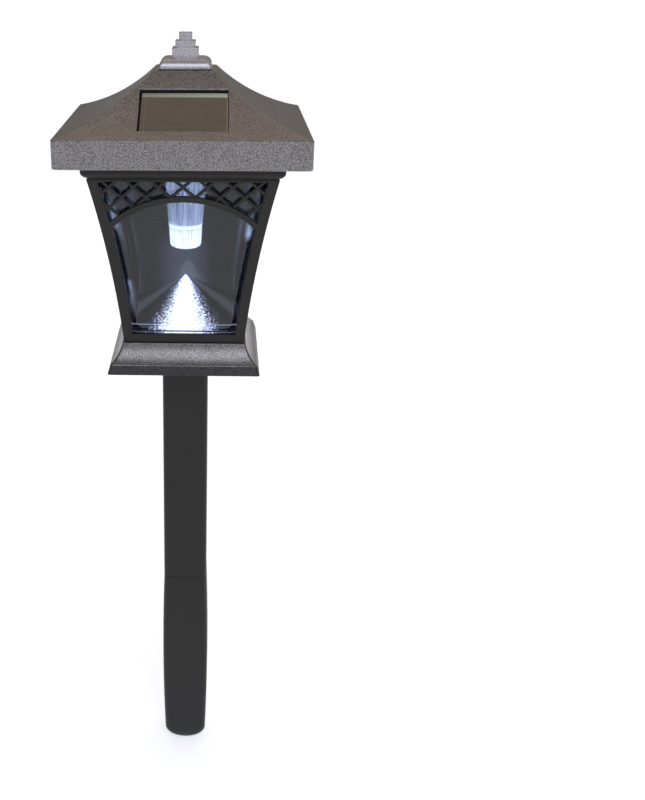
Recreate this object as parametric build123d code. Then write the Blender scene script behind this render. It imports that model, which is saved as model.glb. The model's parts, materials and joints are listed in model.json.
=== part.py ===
from build123d import *
import math
import os

# A solar garden light: a square pagoda lantern on a post, with a ground stake below.
# Lengths are millimetres. +Z is up, and the front, with the solar panel, faces -Y.
# Heights here are measured from the underside of the lantern's base; save() lifts
# every piece by stake_reach, so the tip of the stake is at the origin.

# Driving dimensions
eave_width = 126.0          # across the roof's skirt
skirt_low = 113.8           # height of the skirt's lower edge
skirt_high = 127.9          # height of the skirt's upper edge
roof_top_width = 32.0       # across the flat under the finial
roof_top = 155.0            # height of that flat
roof_sag = 3.5              # how far the concave slope dips below its chord
wall = 2.0                  # moulded wall of the roof, tray, cornice and base

lantern_low = 15.75         # underside of the four window panels
lantern_high = 106.6        # top of the four window panels
lantern_low_half = 32.2     # half width of the panels' outer face at lantern_low
lantern_high_half = 48.0    # and at lantern_high
lantern_sag = 1.65          # how far that face dips below its chord
panel_wall = 2.4            # thickness of a window panel
stile = 5.3                 # front width of a panel's side stile
lens_gap = 0.3              # between the panels and the lens box
lens_wall = 1.6             # clear wall of the lens box

base_half = 40.9            # half width of the base at the ground side
base_band = 5.1             # height of its upright band
base_deck_half = 33.2       # half width of its top

post_side = 25.4            # one inch square tube
post_wall = 1.5
post_corner = 2.9
post_seam = -142.0          # where the tube meets the stake
stake_reach = 266.0         # from the base down to the stake's tip
stake_belly = 27.5          # widest part of the stake
slip = 0.3                  # gap on each side of a push-in spigot

tray_low = 110.0            # underside of the tray that closes the roof
tray_high = 120.0           # top of the tray's wall and flange
collar_high = 118.0         # top of the cornice, which the flange rests on
tray_half = 48.5            # half width of the part that plugs into the cornice

cell_length = 43.0          # the solar panel's width, depth up the slope and glass
cell_depth = 31.6
cell_thick = 2.0
battery_y = 24.4            # the AA cell lies along X behind the lamp
battery_z = 120.0
battery_r = 7.1
battery_length = 50.5
hinge_y = 37.0              # battery door hinge, parallel to X
hinge_z = 111.2
hinge_cover = 113.2         # underside of the rib that covers the hinge
switch_y = -30.0
knob_travel = 3.0
board_low = 126.4           # the circuit board
board_thick = 1.6
led_z = 113.4               # flat back of the LED
screw_r = 1.15              # self-tapping screws and the pilot and clearance holes for them
pilot_r = 1.2
clear_r = 1.5
corner_screw = 54.0         # tray to roof, off the axis along X and Y
floor_screw = 18.0          # base to lens box
board_screw = 16.5          # board to tray, along X


def save(name, piece):
    os.makedirs("parts", exist_ok=True)
    export_step(Pos(0, 0, stake_reach) * piece, f"parts/{name}.step")


# Shapes used by several pieces

def block(x0, x1, y0, y1, z0, z1):
    return Pos((x0 + x1) / 2, (y0 + y1) / 2, (z0 + z1) / 2) * Box(x1 - x0, y1 - y0, z1 - z0)


def square_block(half, z0, z1, corner):
    return extrude(Pos(0, 0, z0) * RectangleRounded(2 * half, 2 * half, corner), z1 - z0)


def rod(radius, x, y, z0, z1):
    return Pos(x, y, (z0 + z1) / 2) * Cylinder(radius, z1 - z0)


def silhouette(*right_side):
    # A face, symmetric about the axis, from the edges of its right side, low to high.
    side = Curve() + list(right_side)
    low, high = right_side[0] @ 0, right_side[-1] @ 1
    edges = [*side.edges(), *mirror(side, Plane.YZ).edges(), Line((-low.X, low.Y), (low.X, low.Y))]
    if high.X > 0.01:
        edges.append(Line((-high.X, high.Y), (high.X, high.Y)))
    return make_face(edges)


def four_sided(face):
    # The solid that shows this silhouette from the front, back, left and right.
    slab = extrude(Plane.XZ * face, amount=eave_width, both=True)
    return slab & Rot(0, 0, 90) * slab


def on_corners(piece, reach):
    return Compound(children=[Pos(sx * reach, sy * reach, 0) * piece for sx in (-1, 1) for sy in (-1, 1)])


def pan_screw(x, y, seat, length, up=True):
    # A self-tapping screw whose head bears on a face at height seat.
    head = Pos(0, 0, -0.8) * Cylinder(2.4, 1.6)
    slot = Pos(0, 0, -1.4) * Box(3.2, 0.7, 1.0) + Pos(0, 0, -1.4) * Box(0.7, 3.2, 1.0)
    shank = Pos(0, 0, (length - 1) / 2) * Cylinder(screw_r, length - 1)
    point = Pos(0, 0, length - 0.5) * Cone(screw_r, 0.4, 1.0)
    screw = head - slot + shank + point
    return Pos(x, y, seat) * (screw if up else Rot(180, 0, 0) * screw)


# The roof's concave slope is one arc, and everything under it is a parallel arc.

eave_half = eave_width / 2
slope_run = eave_half - roof_top_width / 2
slope_rise = roof_top - skirt_high
slope_chord = math.hypot(slope_run, slope_rise)
slope_r = slope_chord**2 / (8 * roof_sag) + roof_sag / 2
slope_centre_x = (eave_half + roof_top_width / 2) / 2 + slope_rise / slope_chord * (slope_r - roof_sag)
slope_centre_z = (skirt_high + roof_top) / 2 + slope_run / slope_chord * (slope_r - roof_sag)


def slope_z(half, inset=0.0):
    return slope_centre_z - math.sqrt((slope_r + inset) ** 2 - (slope_centre_x - half) ** 2)


def slope_half(z, inset=0.0):
    return slope_centre_x - math.sqrt((slope_r + inset) ** 2 - (slope_centre_z - z) ** 2)


def roof_solid(inset=0.0):
    outer, top = eave_half - inset, roof_top - inset
    shoulder = (outer, slope_z(outer, inset))
    crown = (slope_half(top, inset), top)
    middle = (outer + crown[0]) / 2
    return four_sided(silhouette(
        Line((outer, skirt_low), shoulder),
        ThreePointArc(shoulder, (middle, slope_z(middle, inset)), crown),
    ))


# The solar panel lies in a pocket that is level with the slope at its lower edge
# and sunk a little at its upper edge.

pocket_low = (-53.0, slope_z(53.0) - 0.15)
pocket_sink = 1.5
cell_angle = math.atan2(slope_z(24.8) - slope_z(53.0), 53.0 - 24.8)
cell_angle -= math.atan2(pocket_sink, cell_depth)
pocket_half = 22.0
pocket_depth = cell_depth + 0.8
bed_thick = 0.8
cell_plane = Plane(
    origin=(0, *pocket_low),
    x_dir=(1, 0, 0),
    z_dir=(0, -math.sin(cell_angle), math.cos(cell_angle)),
)


def roof_shell():
    outer = roof_solid() & square_block(eave_half, skirt_low, roof_top, 2.5)
    shell = outer - (roof_solid(wall) & square_block(eave_half - wall, skirt_low, roof_top, 0.6))
    pocket_floor = -cell_thick - bed_thick
    skin = 1.6
    reach = pocket_half + skin
    pocket_walls = block(-reach, reach, -skin, pocket_depth + skin, pocket_floor - skin, 12)
    pocket = block(-pocket_half, pocket_half, 0, pocket_depth, pocket_floor, 14)
    wire_hole = rod(3.0, 0, cell_depth / 2, pocket_floor - 4, pocket_floor + 1)
    shell += cell_plane * pocket_walls & outer
    shell -= cell_plane * (pocket + wire_hole)
    boss = rod(3.4, 0, 0, tray_high, roof_top)
    shell += on_corners(boss, corner_screw) & outer
    shell -= on_corners(rod(pilot_r, 0, 0, tray_high - 1, tray_high + 7.5), corner_screw)
    return shell - rod(1.8, 0, 0, roof_top - 5, roof_top + 1)


def finial():
    # A square cushion under three stepped blocks, hollow below, with a screw boss.
    foot = 13.1
    bend = 5.0
    shoulder = roof_top + 1.2
    crown = shoulder + bend
    cushion = four_sided(silhouette(
        Line((foot, roof_top), (foot, shoulder)),
        CenterArc((foot - bend, shoulder), bend, 0, 90),
        Line((foot - bend, crown), (0, crown + 0.6)),
    ))
    cushion &= square_block(foot, roof_top, crown + 1, 1.4)
    hollow = square_block(foot - 2.2, roof_top, shoulder, 1.0)
    steps = [(6.8, crown - 1.0, 165.2), (5.2, 165.2, 168.6), (3.4, 168.6, 172.5)]
    blocks = [fillet_top(square_block(half, low, high, 1.0), 0.35) for half, low, high in steps]
    piece = cushion - hollow + rod(3.4, 0, 0, roof_top, shoulder + 0.5)
    for step in blocks:
        piece += step
    return piece - rod(pilot_r, 0, 0, roof_top - 1, roof_top + 8)


def fillet_top(piece, radius):
    return fillet(piece.faces().sort_by(Axis.Z)[-1].edges(), radius)


def solar_panel():
    right = pocket_half - 0.1
    return cell_plane * block(right - cell_length, right, 0.1, 0.1 + cell_depth, -cell_thick, 0)


def panel_seal():
    outer = block(-20.6, 21.4, 0.6, cell_depth - 0.4, -cell_thick - bed_thick, -cell_thick)
    inner = block(-17.6, 18.4, 3.6, cell_depth - 3.4, -cell_thick - 2, 0)
    return cell_plane * (outer - inner)


# The tray closes the roof from below and carries the battery bay, the board's posts,
# the lamp lens and the switch.

bay_half = 29.6
bay_front, bay_back = battery_y - 7.75, battery_y + 7.75
bay_top = battery_z + 7.8
bay_wall = 1.4
deck = tray_low + wall
ear_in = 26.3               # the hinge ears stand outside the door's barrel
ear_out = 31.0
ear_front = 2.3             # and reach this far in front of the pin
bay_cut = bay_half + 0.3    # the door's opening in the floor
cut_back = hinge_y + 2.2


def hinge_rib():
    # Closes the floor's opening above the hinge, so that no water gets in beside the bay.
    top = hinge_cover + bay_wall
    back = cut_back + bay_wall
    rib = block(-ear_out, ear_out, bay_back + bay_wall / 2, back, hinge_cover, top)
    rib += block(-ear_out, ear_out, cut_back, back, tray_low + 0.5, top)
    cheek = block(bay_cut, ear_out, bay_back, back, deck - 0.5, top)
    return rib + cheek + mirror(cheek, Plane.YZ)


def cap_tray():
    tray = square_block(tray_half, tray_low, tray_high, 3.0)
    tray += square_block(eave_half - wall - 0.4, collar_high, tray_high, 1.5)
    tray -= square_block(tray_half - wall, deck, tray_high + 1, 1.5)
    tray -= on_corners(rod(clear_r, 0, 0, collar_high - 1, tray_high + 1), corner_screw)
    outside = bay_half + bay_wall
    tray += block(-outside, outside, bay_front - bay_wall, bay_back + bay_wall, deck, bay_top + bay_wall)
    tray -= block(-bay_half, bay_half, bay_front, bay_back, deck, bay_top)
    tray -= block(-bay_cut, bay_cut, bay_front - 0.75, cut_back, tray_low - 1, deck)
    tray += hinge_rib()
    ear = block(ear_in, ear_out, hinge_y - ear_front, hinge_y + 3, tray_low - 0.2, hinge_cover)
    ear -= Pos(ear_in + 1.3, hinge_y, hinge_z) * Rot(0, 90, 0) * Cylinder(1.05, 3.6)
    tray += ear + mirror(ear, Plane.YZ)
    for x in (-board_screw, board_screw):
        tray += rod(2.3, x, 0, deck, board_low) - rod(pilot_r, x, 0, board_low - 6, board_low + 1)
    tray -= rod(12.3, 0, 0, tray_low - 1, deck + 0.1)
    tray -= block(-3.5, 3.5, switch_y - 1.6, switch_y + 1.6, tray_low - 1, deck + 0.1)
    return tray


def battery_door():
    free = bay_front - 0.45
    neck = hinge_y - ear_front - 0.7
    barrel_half = ear_in - 0.3
    door = block(-bay_half, bay_half, free, neck, tray_low, deck)
    door += block(-barrel_half, barrel_half, neck, hinge_y - 0.6, tray_low, deck)
    door += Pos(0, hinge_y, hinge_z) * Rot(0, 90, 0) * Cylinder(1.6, 2 * barrel_half)
    pin = Rot(0, 90, 0) * Cylinder(1.0, 2.6)
    for side in (-1, 1):
        door += Pos(side * (barrel_half + 1.3), hinge_y, hinge_z) * pin
    tab = block(-5, 5, free - 1.8, free + 4, tray_low - 1.2, tray_low)
    for groove in (0.0, 1.6, 3.2):
        tab -= block(-5, 5, free - 1.0 + groove, free - 0.4 + groove, tray_low - 1.3, tray_low - 0.7)
    return door + tab


def switch_body():
    top = deck + 5.5
    body = block(-6, 6, switch_y - 3, switch_y + 3, deck, top)
    body -= block(-3.4, 3.4, switch_y - 1.5, switch_y + 1.5, deck - 1, deck + 1.9)
    for x in (-3.5, 0, 3.5):
        body += block(x - 0.4, x + 0.4, switch_y - 0.25, switch_y + 0.25, top, top + 3.0)
    return body


def switch_knob():
    # Drawn in its ON place; it slides knob_travel towards +X for OFF.
    x = -knob_travel / 2
    stem = block(x - 1.4, x + 1.4, switch_y - 1.2, switch_y + 1.2, tray_low - 0.4, deck + 1.6)
    grip = block(x - 2.0, x + 2.0, switch_y - 1.8, switch_y + 1.8, tray_low - 1.7, tray_low - 0.3)
    for ridge in (x - 1.1, x, x + 1.1):
        grip -= block(ridge - 0.25, ridge + 0.25, switch_y - 2, switch_y + 2, tray_low - 1.8, tray_low - 1.2)
    return stem + grip


# The lamp: a board, an LED that points down, and a stepped clear lens around it.

def circuit_board():
    board = block(-19, 19, -11, 11, board_low, board_low + board_thick)
    for x in (-board_screw, board_screw):
        board -= rod(clear_r, x, 0, board_low - 1, board_low + 3)
    return board


def controller_chip():
    top = board_low + board_thick
    chip = block(-10, -5, -3, 3, top, top + 1.6)
    for x in (-9, -7.5, -6):
        for side in (-1, 1):
            chip += block(x - 0.25, x + 0.25, side * 3.8 - 0.9, side * 3.8 + 0.9, top, top + 0.3)
    return chip


def boost_inductor():
    top = board_low + board_thick
    x, y, flange, core = 5, 3, 3.6, 2.4
    bobbin = rod(flange, x, y, top, top + 1) + rod(flange, x, y, top + 4, top + 5)
    return bobbin + rod(core, x, y, top + 1, top + 4)


def led():
    bulb = rod(2.5, 0, 0, led_z - 5.2, led_z) + Pos(0, 0, led_z - 5.2) * Sphere(2.5)
    bulb += rod(2.9, 0, 0, led_z, led_z + 1.1)
    legs = [block(x - 0.25, x + 0.25, -0.25, 0.25, led_z + 1.1, board_low) for x in (-1.27, 1.27)]
    return bulb + legs


def led_lens():
    outer = make_face([
        *Polyline((0, 60.5), (6.6, 60.9), (8.5, 62.9), (8.9, 72.5), (9.15, 73.4), (12.0, deck)).edges(),
        *Polyline((12.0, deck), (13.5, deck), (13.5, deck + 1.4), (0, deck + 1.4), (0, 60.5)).edges(),
    ])
    solid = revolve(Plane.XZ * outer, Axis.Z)
    bore = Pos(0, 0, (74.5 + deck + 3) / 2) * Cone(7.6, 10.4, deck + 3 - 74.5)
    return solid - bore


def aa_battery():
    axis = Rot(0, 90, 0)
    can = axis * Cylinder(battery_r, battery_length - 1.4)
    nub = Pos(battery_length / 2 - 0.2, 0, 0) * axis * Cylinder(2.6, 1.4)
    ring = Cylinder(battery_r + 1, 0.8) - Cylinder(battery_r - 0.35, 1)
    groove = Pos(battery_length / 2 - 4, 0, 0) * axis * ring
    return Pos(0, battery_y, battery_z) * (can - groove + nub)


def battery_spring():
    free_end = -battery_length / 2 + 0.7 - 0.4
    seat = -bay_half + 0.9
    path = Helix(pitch=(free_end - seat) / 3, height=free_end - seat, radius=3.6)
    coil = sweep(Plane(path @ 0, z_dir=path % 0) * Circle(0.4), path=path)
    turned = Pos(seat, battery_y, battery_z) * Rot(0, 90, 0) * coil
    plate = block(-bay_half, -bay_half + 0.5, battery_y - 5.5, battery_y + 5.5, battery_z - 6, battery_z + 6)
    return Compound(children=[turned, plate])


def battery_contact():
    plate = block(bay_half - 0.5, bay_half, battery_y - 5.5, battery_y + 5.5, battery_z - 6, battery_z + 6)
    tongue_end = battery_length / 2 + 0.5
    tongue = block(tongue_end, bay_half - 0.5, battery_y - 2, battery_y + 2, battery_z - 0.4, battery_z + 0.4)
    return plate + tongue


def wire_run(points, radius=0.6, bend=3.0):
    path = FilletPolyline(*points, radius=bend)
    return sweep(Plane(path @ 0, z_dir=path % 0) * Circle(radius), path=path)


def wire_pair(points, spread):
    runs = []
    for side in (-1, 1):
        runs.append(wire_run([(x + side * spread, y, z) for x, y, z in points]))
    return Compound(children=runs)


def panel_leads():
    under = cell_plane * Pos(0, cell_depth / 2, -cell_thick)
    start = under.position
    top = board_low + board_thick
    route = [(0, start.Y, start.Z), (0, start.Y + 4, start.Z - 8), (0, -16, 136), (0, -8, 134), (0, -8, top)]
    return wire_pair(route, 1.3)


def battery_leads():
    low = bay_top + bay_wall
    high = low + 7
    top = board_low + board_thick
    runs = []
    for side in (-1, 1):
        bay_x, board_x = side * 24, side * 12
        rise = [(bay_x, battery_y, low), (bay_x, battery_y, high)]
        runs.append(wire_run([*rise, (board_x, 8, high), (board_x, 8, top)]))
    return Compound(children=runs)


def switch_leads():
    leg_top = deck + 8.5
    top = board_low + board_thick
    runs = []
    for side in (-1, 1):
        leg_x, board_x = side * 3.5, side * 14
        rise = [(leg_x, switch_y, leg_top), (leg_x, switch_y, 133)]
        runs.append(wire_run([*rise, (board_x, -16, 135), (board_x, -8, 134), (board_x, -8, top)]))
    return Compound(children=runs)


# The lantern: four window panels around a one-piece lens box, under a cornice.

lantern_run = lantern_high_half - lantern_low_half
lantern_rise = lantern_high - lantern_low
lantern_chord = math.hypot(lantern_run, lantern_rise)
face_r = lantern_chord**2 / (8 * lantern_sag) + lantern_sag / 2
face_reach = face_r - lantern_sag
face_centre_x = (lantern_low_half + lantern_high_half) / 2 + lantern_rise / lantern_chord * face_reach
face_centre_z = (lantern_low + lantern_high) / 2 - lantern_run / lantern_chord * face_reach


def face_half(z, inset=0.0):
    # Half width of the lantern at height z, inset mm inside its concave outer face.
    return face_centre_x - math.sqrt((face_r + inset) ** 2 - (z - face_centre_z) ** 2)


def face_arc(low, high, inset=0.0, shift=0.0):
    middle = (low + high) / 2
    points = [(face_half(z, inset) - shift, z) for z in (low, middle, high)]
    return ThreePointArc(*points)


def front_skin(outer_inset, inner_inset):
    # The slanted sheet between two parallel faces, cut to the front quarter of the lantern.
    low, high = lantern_low, lantern_high
    outer, inner = face_arc(low, high, outer_inset), face_arc(low, high, inner_inset)
    section = make_face([outer, inner, Line(outer @ 0, inner @ 0), Line(outer @ 1, inner @ 1)])
    sheet = extrude(Plane.YZ * mirror(section, Plane.YZ), amount=60, both=True)
    quarter = make_face(Polyline((0, 0), (60, -60), (-60, -60), (0, 0)))
    return sheet & extrude(Pos(0, 0, lantern_low) * quarter, lantern_rise)


arch_centre_z = 40.9
arch_r = 53.7
arch_band = 3.2
lattice_pitch = 12.35
lattice_row = 5.45
lattice_top = 102.4
lattice_strand = 1.85


def window_panel():
    sill, head = 20.7, 105.3
    opening = silhouette(face_arc(sill, head, shift=stile))
    under_arch = Pos(0, arch_centre_z) * Circle(arch_r)
    over_arch = Pos(0, arch_centre_z) * Circle(arch_r + arch_band)
    window = opening & under_arch
    spandrel = opening - over_arch
    lean = math.degrees(math.atan2(lattice_row, lattice_pitch / 2))
    strands = Sketch()
    for k in range(-8, 9):
        for turn in (-lean, lean):
            strands += Pos(k * lattice_pitch, lattice_top) * Rot(0, 0, turn) * Rectangle(120, lattice_strand)
    cut = extrude(Plane.XZ * (window + spandrel), amount=60)
    grid = extrude(Plane.XZ * (spandrel & strands), amount=60)
    return front_skin(0, panel_wall) - cut + (front_skin(0.4, panel_wall - 0.4) & grid)


def lens_solid(inset, low, corner):
    offset = panel_wall + lens_gap + inset
    sides = face_arc(low, lantern_high, offset)
    solid = four_sided(silhouette(sides))
    uprights = solid.edges().filter_by(lambda e: abs((e @ 0).Z - (e @ 1).Z) > 20)
    return fillet(uprights, corner)


lens_floor = 17.75


def lens_box():
    outer = lens_solid(0, lantern_low, 7.0)
    outer = fillet(outer.faces().sort_by(Axis.Z)[0].edges(), 4.5)
    inner = lens_solid(lens_wall, lens_floor, 5.4)
    inner = fillet(inner.faces().sort_by(Axis.Z)[0].edges(), 3.0)
    lip = square_block(47.0, lantern_high, lantern_high + 1.2, 3.0)
    mouth_half = face_half(lantern_high, panel_wall + lens_gap + lens_wall)
    mouth = square_block(mouth_half, lantern_high, lantern_high + 2, 5.4)
    bosses = on_corners(rod(2.6, 0, 0, lens_floor - 0.5, lens_floor + 5), floor_screw)
    pilots = on_corners(rod(pilot_r, 0, 0, lantern_low - 1, lens_floor + 4), floor_screw)
    return outer - inner + (lip - mouth) + bosses - pilots


def reflector_pyramid():
    # A stippled four-sided reflector that stands on the lens box's floor.
    rim, skirt, apex = 23.2, 24.0, 45.0
    edge = 28.0
    sheet = 1.2
    outer = four_sided(silhouette(Line((edge, rim), (edge, rim + 0.8)), Line((edge, rim + 0.8), (0, apex))))
    inner = four_sided(silhouette(Line((edge - 2.6, rim - 0.1), (0, apex - 1.9))))
    corners = square_block(edge, rim, apex, 4.8)
    foot = square_block(skirt, lens_floor, rim + 3, 2.0)
    foot -= square_block(skirt - sheet, lens_floor - 1, rim + 4, sheet)
    upper_foot = foot & outer
    lower_foot = foot & square_block(edge, lens_floor, rim + 0.2, 2.0)
    return (outer - inner & corners) + upper_foot + lower_foot


def cornice_ring():
    groove, nose, belly = 47.7, 48.5, 50.85
    outer = four_sided(silhouette(
        Line((groove, lantern_high), (groove, lantern_high + 0.7)),
        Line((groove, lantern_high + 0.7), (nose, lantern_high + 0.7)),
        ThreePointArc((nose, lantern_high + 0.7), (50.15, 108.2), (belly, 109.9)),
        Line((belly, 109.9), (belly, collar_high)),
    ))
    lip_seat = square_block(47.1, lantern_high - 1, lantern_high + 1.2, 3.0)
    flange_top = lantern_high + 2.6
    mouth = square_block(44.0, lantern_high, flange_top + 1, 5.4)
    socket = square_block(tray_half + 0.35, flange_top, collar_high + 1, 2.6)
    return outer - lip_seat - mouth - socket


# The base, post and stake

def base_flange():
    band_half = base_half - 1.6
    slope_mid = (35.75, 11.0)
    outer = four_sided(silhouette(
        Line((base_half, 0), (band_half, base_band)),
        ThreePointArc((band_half, base_band), slope_mid, (base_deck_half, lantern_low)),
    ))
    deck_low = lantern_low - wall
    inner = four_sided(silhouette(
        Line((base_half - wall, 0), (band_half - wall, base_band - 0.8)),
        ThreePointArc((band_half - wall, base_band - 0.8), (slope_mid[0] - wall, slope_mid[1] - 0.9),
                      (base_deck_half - wall + 0.2, deck_low)),
    ))
    shell = outer - inner
    tube = post_side / 2 - post_wall - slip
    spigot_low = deck_low - 32
    spigot = square_block(tube, spigot_low, deck_low + 0.5, 1.3)
    spigot -= square_block(tube - 1.6, spigot_low - 1, deck_low, 0.8)
    holes = on_corners(rod(clear_r, 0, 0, deck_low - 1, lantern_low + 1), floor_screw)
    return shell + spigot - holes


def post_tube():
    top = lantern_low - wall
    half = post_side / 2
    bore = square_block(half - post_wall, post_seam - 1, top + 1, post_corner - post_wall)
    return square_block(half, post_seam, top, post_corner) - bore


nose_length = 11.0


def stake_section(z, half, corner):
    return Pos(0, 0, z) * RectangleRounded(2 * half, 2 * half, corner)


def ground_stake():
    # A shaft with a slight belly, then a blunt nose whose corners round off as it closes.
    nose_top = nose_length - stake_reach
    middle, reach = (post_seam + nose_top) / 2, (post_seam - nose_top) / 2
    shaft = []
    for step in range(7):
        z = post_seam - step * 2 * reach / 6
        belly = (stake_belly - post_side) / 2 * (1 - ((z - middle) / reach) ** 2)
        shaft.append(stake_section(z, post_side / 2 + belly, post_corner + 0.3))
    nose = []
    for t in (0.0, 0.3, 0.55, 0.75, 0.9, 1.0):
        half = 4.0 + (post_side / 2 - 4.0) * (1 - t**2.4) ** 0.5
        corner = min(post_corner + 0.3 + 7 * t, half * 0.96)
        nose.append(stake_section(nose_top - t * nose_length, half, corner))
    stake = loft(shaft) + loft(nose)
    tube = post_side / 2 - post_wall - slip
    stake += square_block(tube, post_seam - 1, post_seam + 45, 1.3)
    return stake - square_block(tube - 2.2, 26 - stake_reach, post_seam + 46, 1.0)


def base_screws():
    return on_corners(pan_screw(0, 0, lantern_low - wall, 7), floor_screw)


def tray_screws():
    return on_corners(pan_screw(0, 0, collar_high, 9), corner_screw)


def board_screws():
    top = board_low + board_thick
    return Compound(children=[pan_screw(x, 0, top, 7, up=False) for x in (-board_screw, board_screw)])


def finial_screw():
    return pan_screw(0, 0, roof_top - wall, 9)


pieces = [
    ground_stake, post_tube, base_flange, base_screws, lens_box, reflector_pyramid, cornice_ring,
    roof_shell, finial, finial_screw, solar_panel, panel_seal, panel_leads, cap_tray, tray_screws,
    battery_door, aa_battery, battery_spring, battery_contact, battery_leads, circuit_board,
    board_screws, controller_chip, boost_inductor, led, led_lens, switch_body, switch_knob, switch_leads,
]
for make in pieces:
    save(make.__name__, make())

front_panel = window_panel()
for name, turn in {"front": 0, "right": 90, "back": 180, "left": 270}.items():
    save(f"window_panel_{name}", Rot(0, 0, turn) * front_panel)
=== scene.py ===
import json
import math
import bmesh
import bpy
from mathutils import Euler, Matrix, Vector

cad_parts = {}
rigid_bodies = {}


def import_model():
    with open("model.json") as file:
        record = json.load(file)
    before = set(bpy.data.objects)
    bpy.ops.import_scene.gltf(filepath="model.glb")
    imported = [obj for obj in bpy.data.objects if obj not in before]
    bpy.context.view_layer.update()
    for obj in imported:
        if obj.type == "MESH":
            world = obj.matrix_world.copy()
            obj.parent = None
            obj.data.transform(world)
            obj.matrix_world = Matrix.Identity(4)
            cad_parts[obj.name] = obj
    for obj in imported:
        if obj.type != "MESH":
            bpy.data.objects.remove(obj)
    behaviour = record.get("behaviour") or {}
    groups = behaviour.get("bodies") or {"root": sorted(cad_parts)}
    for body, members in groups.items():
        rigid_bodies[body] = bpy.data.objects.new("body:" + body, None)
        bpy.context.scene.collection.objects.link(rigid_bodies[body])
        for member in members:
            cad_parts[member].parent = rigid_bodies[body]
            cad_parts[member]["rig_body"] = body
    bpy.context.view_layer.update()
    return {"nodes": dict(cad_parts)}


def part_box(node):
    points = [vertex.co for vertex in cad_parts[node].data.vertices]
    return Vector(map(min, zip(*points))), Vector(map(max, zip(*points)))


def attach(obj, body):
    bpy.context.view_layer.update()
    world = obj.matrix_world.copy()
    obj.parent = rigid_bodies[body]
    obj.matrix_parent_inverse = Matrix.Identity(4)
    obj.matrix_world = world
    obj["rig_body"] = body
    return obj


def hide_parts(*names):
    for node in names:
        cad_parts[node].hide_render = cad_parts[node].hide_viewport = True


# Solar garden light: pagoda roof, lattice lantern, square post and ground stake.
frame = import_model()
mm = 0.001
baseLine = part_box("post_tube")[1].z - 13.75 * mm  # underside of the lantern's base
print("frame loaded,", len(frame["nodes"]), "nodes")


# Shared helpers

def linear(hexText):
    # sRGB hex to the linear colour that a shader takes
    parts = [int(hexText[i:i + 2], 16) / 255 for i in (0, 2, 4)]
    return [c / 12.92 if c <= 0.04045 else ((c + 0.055) / 1.055) ** 2.4 for c in parts] + [1.0]


def addNode(tree, kind, settings=None, inputs=None):
    node = tree.nodes.new(kind)
    for key, value in (settings or {}).items():
        setattr(node, key, value)
    for socket, value in (inputs or {}).items():
        if isinstance(value, bpy.types.NodeSocket):
            tree.links.new(value, node.inputs[socket])
        else:
            node.inputs[socket].default_value = value
    return node


def ownPlace(tree):
    return addNode(tree, "ShaderNodeTexCoord").outputs["Object"]


def split(tree, vector):
    return addNode(tree, "ShaderNodeSeparateXYZ", {}, {0: vector}).outputs


def calc(tree, operation, *values):
    return addNode(tree, "ShaderNodeMath", {"operation": operation}, dict(enumerate(values))).outputs[0]


def ramp(tree, value, low, high, bottom=0.0, top=1.0, smooth=False):
    kind = "SMOOTHSTEP" if smooth else "LINEAR"
    return addNode(tree, "ShaderNodeMapRange", {"interpolation_type": kind}, {
        "Value": value, "From Min": low, "From Max": high, "To Min": bottom, "To Max": top}).outputs["Result"]


def noise(tree, place, sizeMm, detail):
    return addNode(tree, "ShaderNodeTexNoise", {}, {
        "Vector": place, "Scale": 1 / (sizeMm * mm), "Detail": detail}).outputs["Fac"]


def mixColour(tree, share, first, second):
    return addNode(tree, "ShaderNodeMix", {"data_type": "RGBA"}, {0: share, 6: first, 7: second}).outputs[2]


def newMaterial(name, fixed):
    material = bpy.data.materials.new(name)
    material.use_nodes = True
    tree = material.node_tree
    shader = tree.nodes["Principled BSDF"]
    for socket, value in fixed.items():
        shader.inputs[socket].default_value = value
    return material, tree, shader


def newPiece(name, mesh):
    piece = bpy.data.objects.new(name, mesh)
    bpy.context.scene.collection.objects.link(piece)
    return piece


def settle(piece):
    # the evaluated shape becomes the piece's plain mesh
    graph = bpy.context.evaluated_depsgraph_get()
    plain = bpy.data.meshes.new_from_object(piece.evaluated_get(graph))
    piece.modifiers.clear()
    piece.data = plain
    return piece


def smoothOff(piece, sharpAngle=38):
    # rounded edges shade smoothly, flats stay flat
    piece.data.shade_smooth()
    piece.data.set_sharp_from_angle(angle=math.radians(sharpAngle))
    weighted = piece.modifiers.new("flats", "WEIGHTED_NORMAL")
    weighted.keep_sharp = True
    return settle(piece)


def mount(piece, material, slotName, *nodes):
    # the piece takes over the CAD nodes' place and body
    piece.data.materials.clear()
    piece.data.materials.append(material)
    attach(piece, frame["nodes"][nodes[0]]["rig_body"])
    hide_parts(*nodes)
    return piece


def boolean(piece, other, operation):
    cut = piece.modifiers.new(operation, "BOOLEAN")
    cut.object, cut.operation, cut.solver = other, operation, "EXACT"
    settle(piece)
    bpy.data.objects.remove(other)
    return piece


def boxMesh(name, low, high, place=None):
    made = bmesh.new()
    bmesh.ops.create_cube(made, size=1)
    size = Vector(high) - Vector(low)
    for vert in made.verts:
        vert.co = Vector(low) + Vector((vert.co[i] + 0.5) * size[i] for i in range(3))
    if place:
        made.transform(place)
    mesh = bpy.data.meshes.new(name)
    made.to_mesh(mesh)
    made.free()
    return newPiece(name, mesh)


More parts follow.
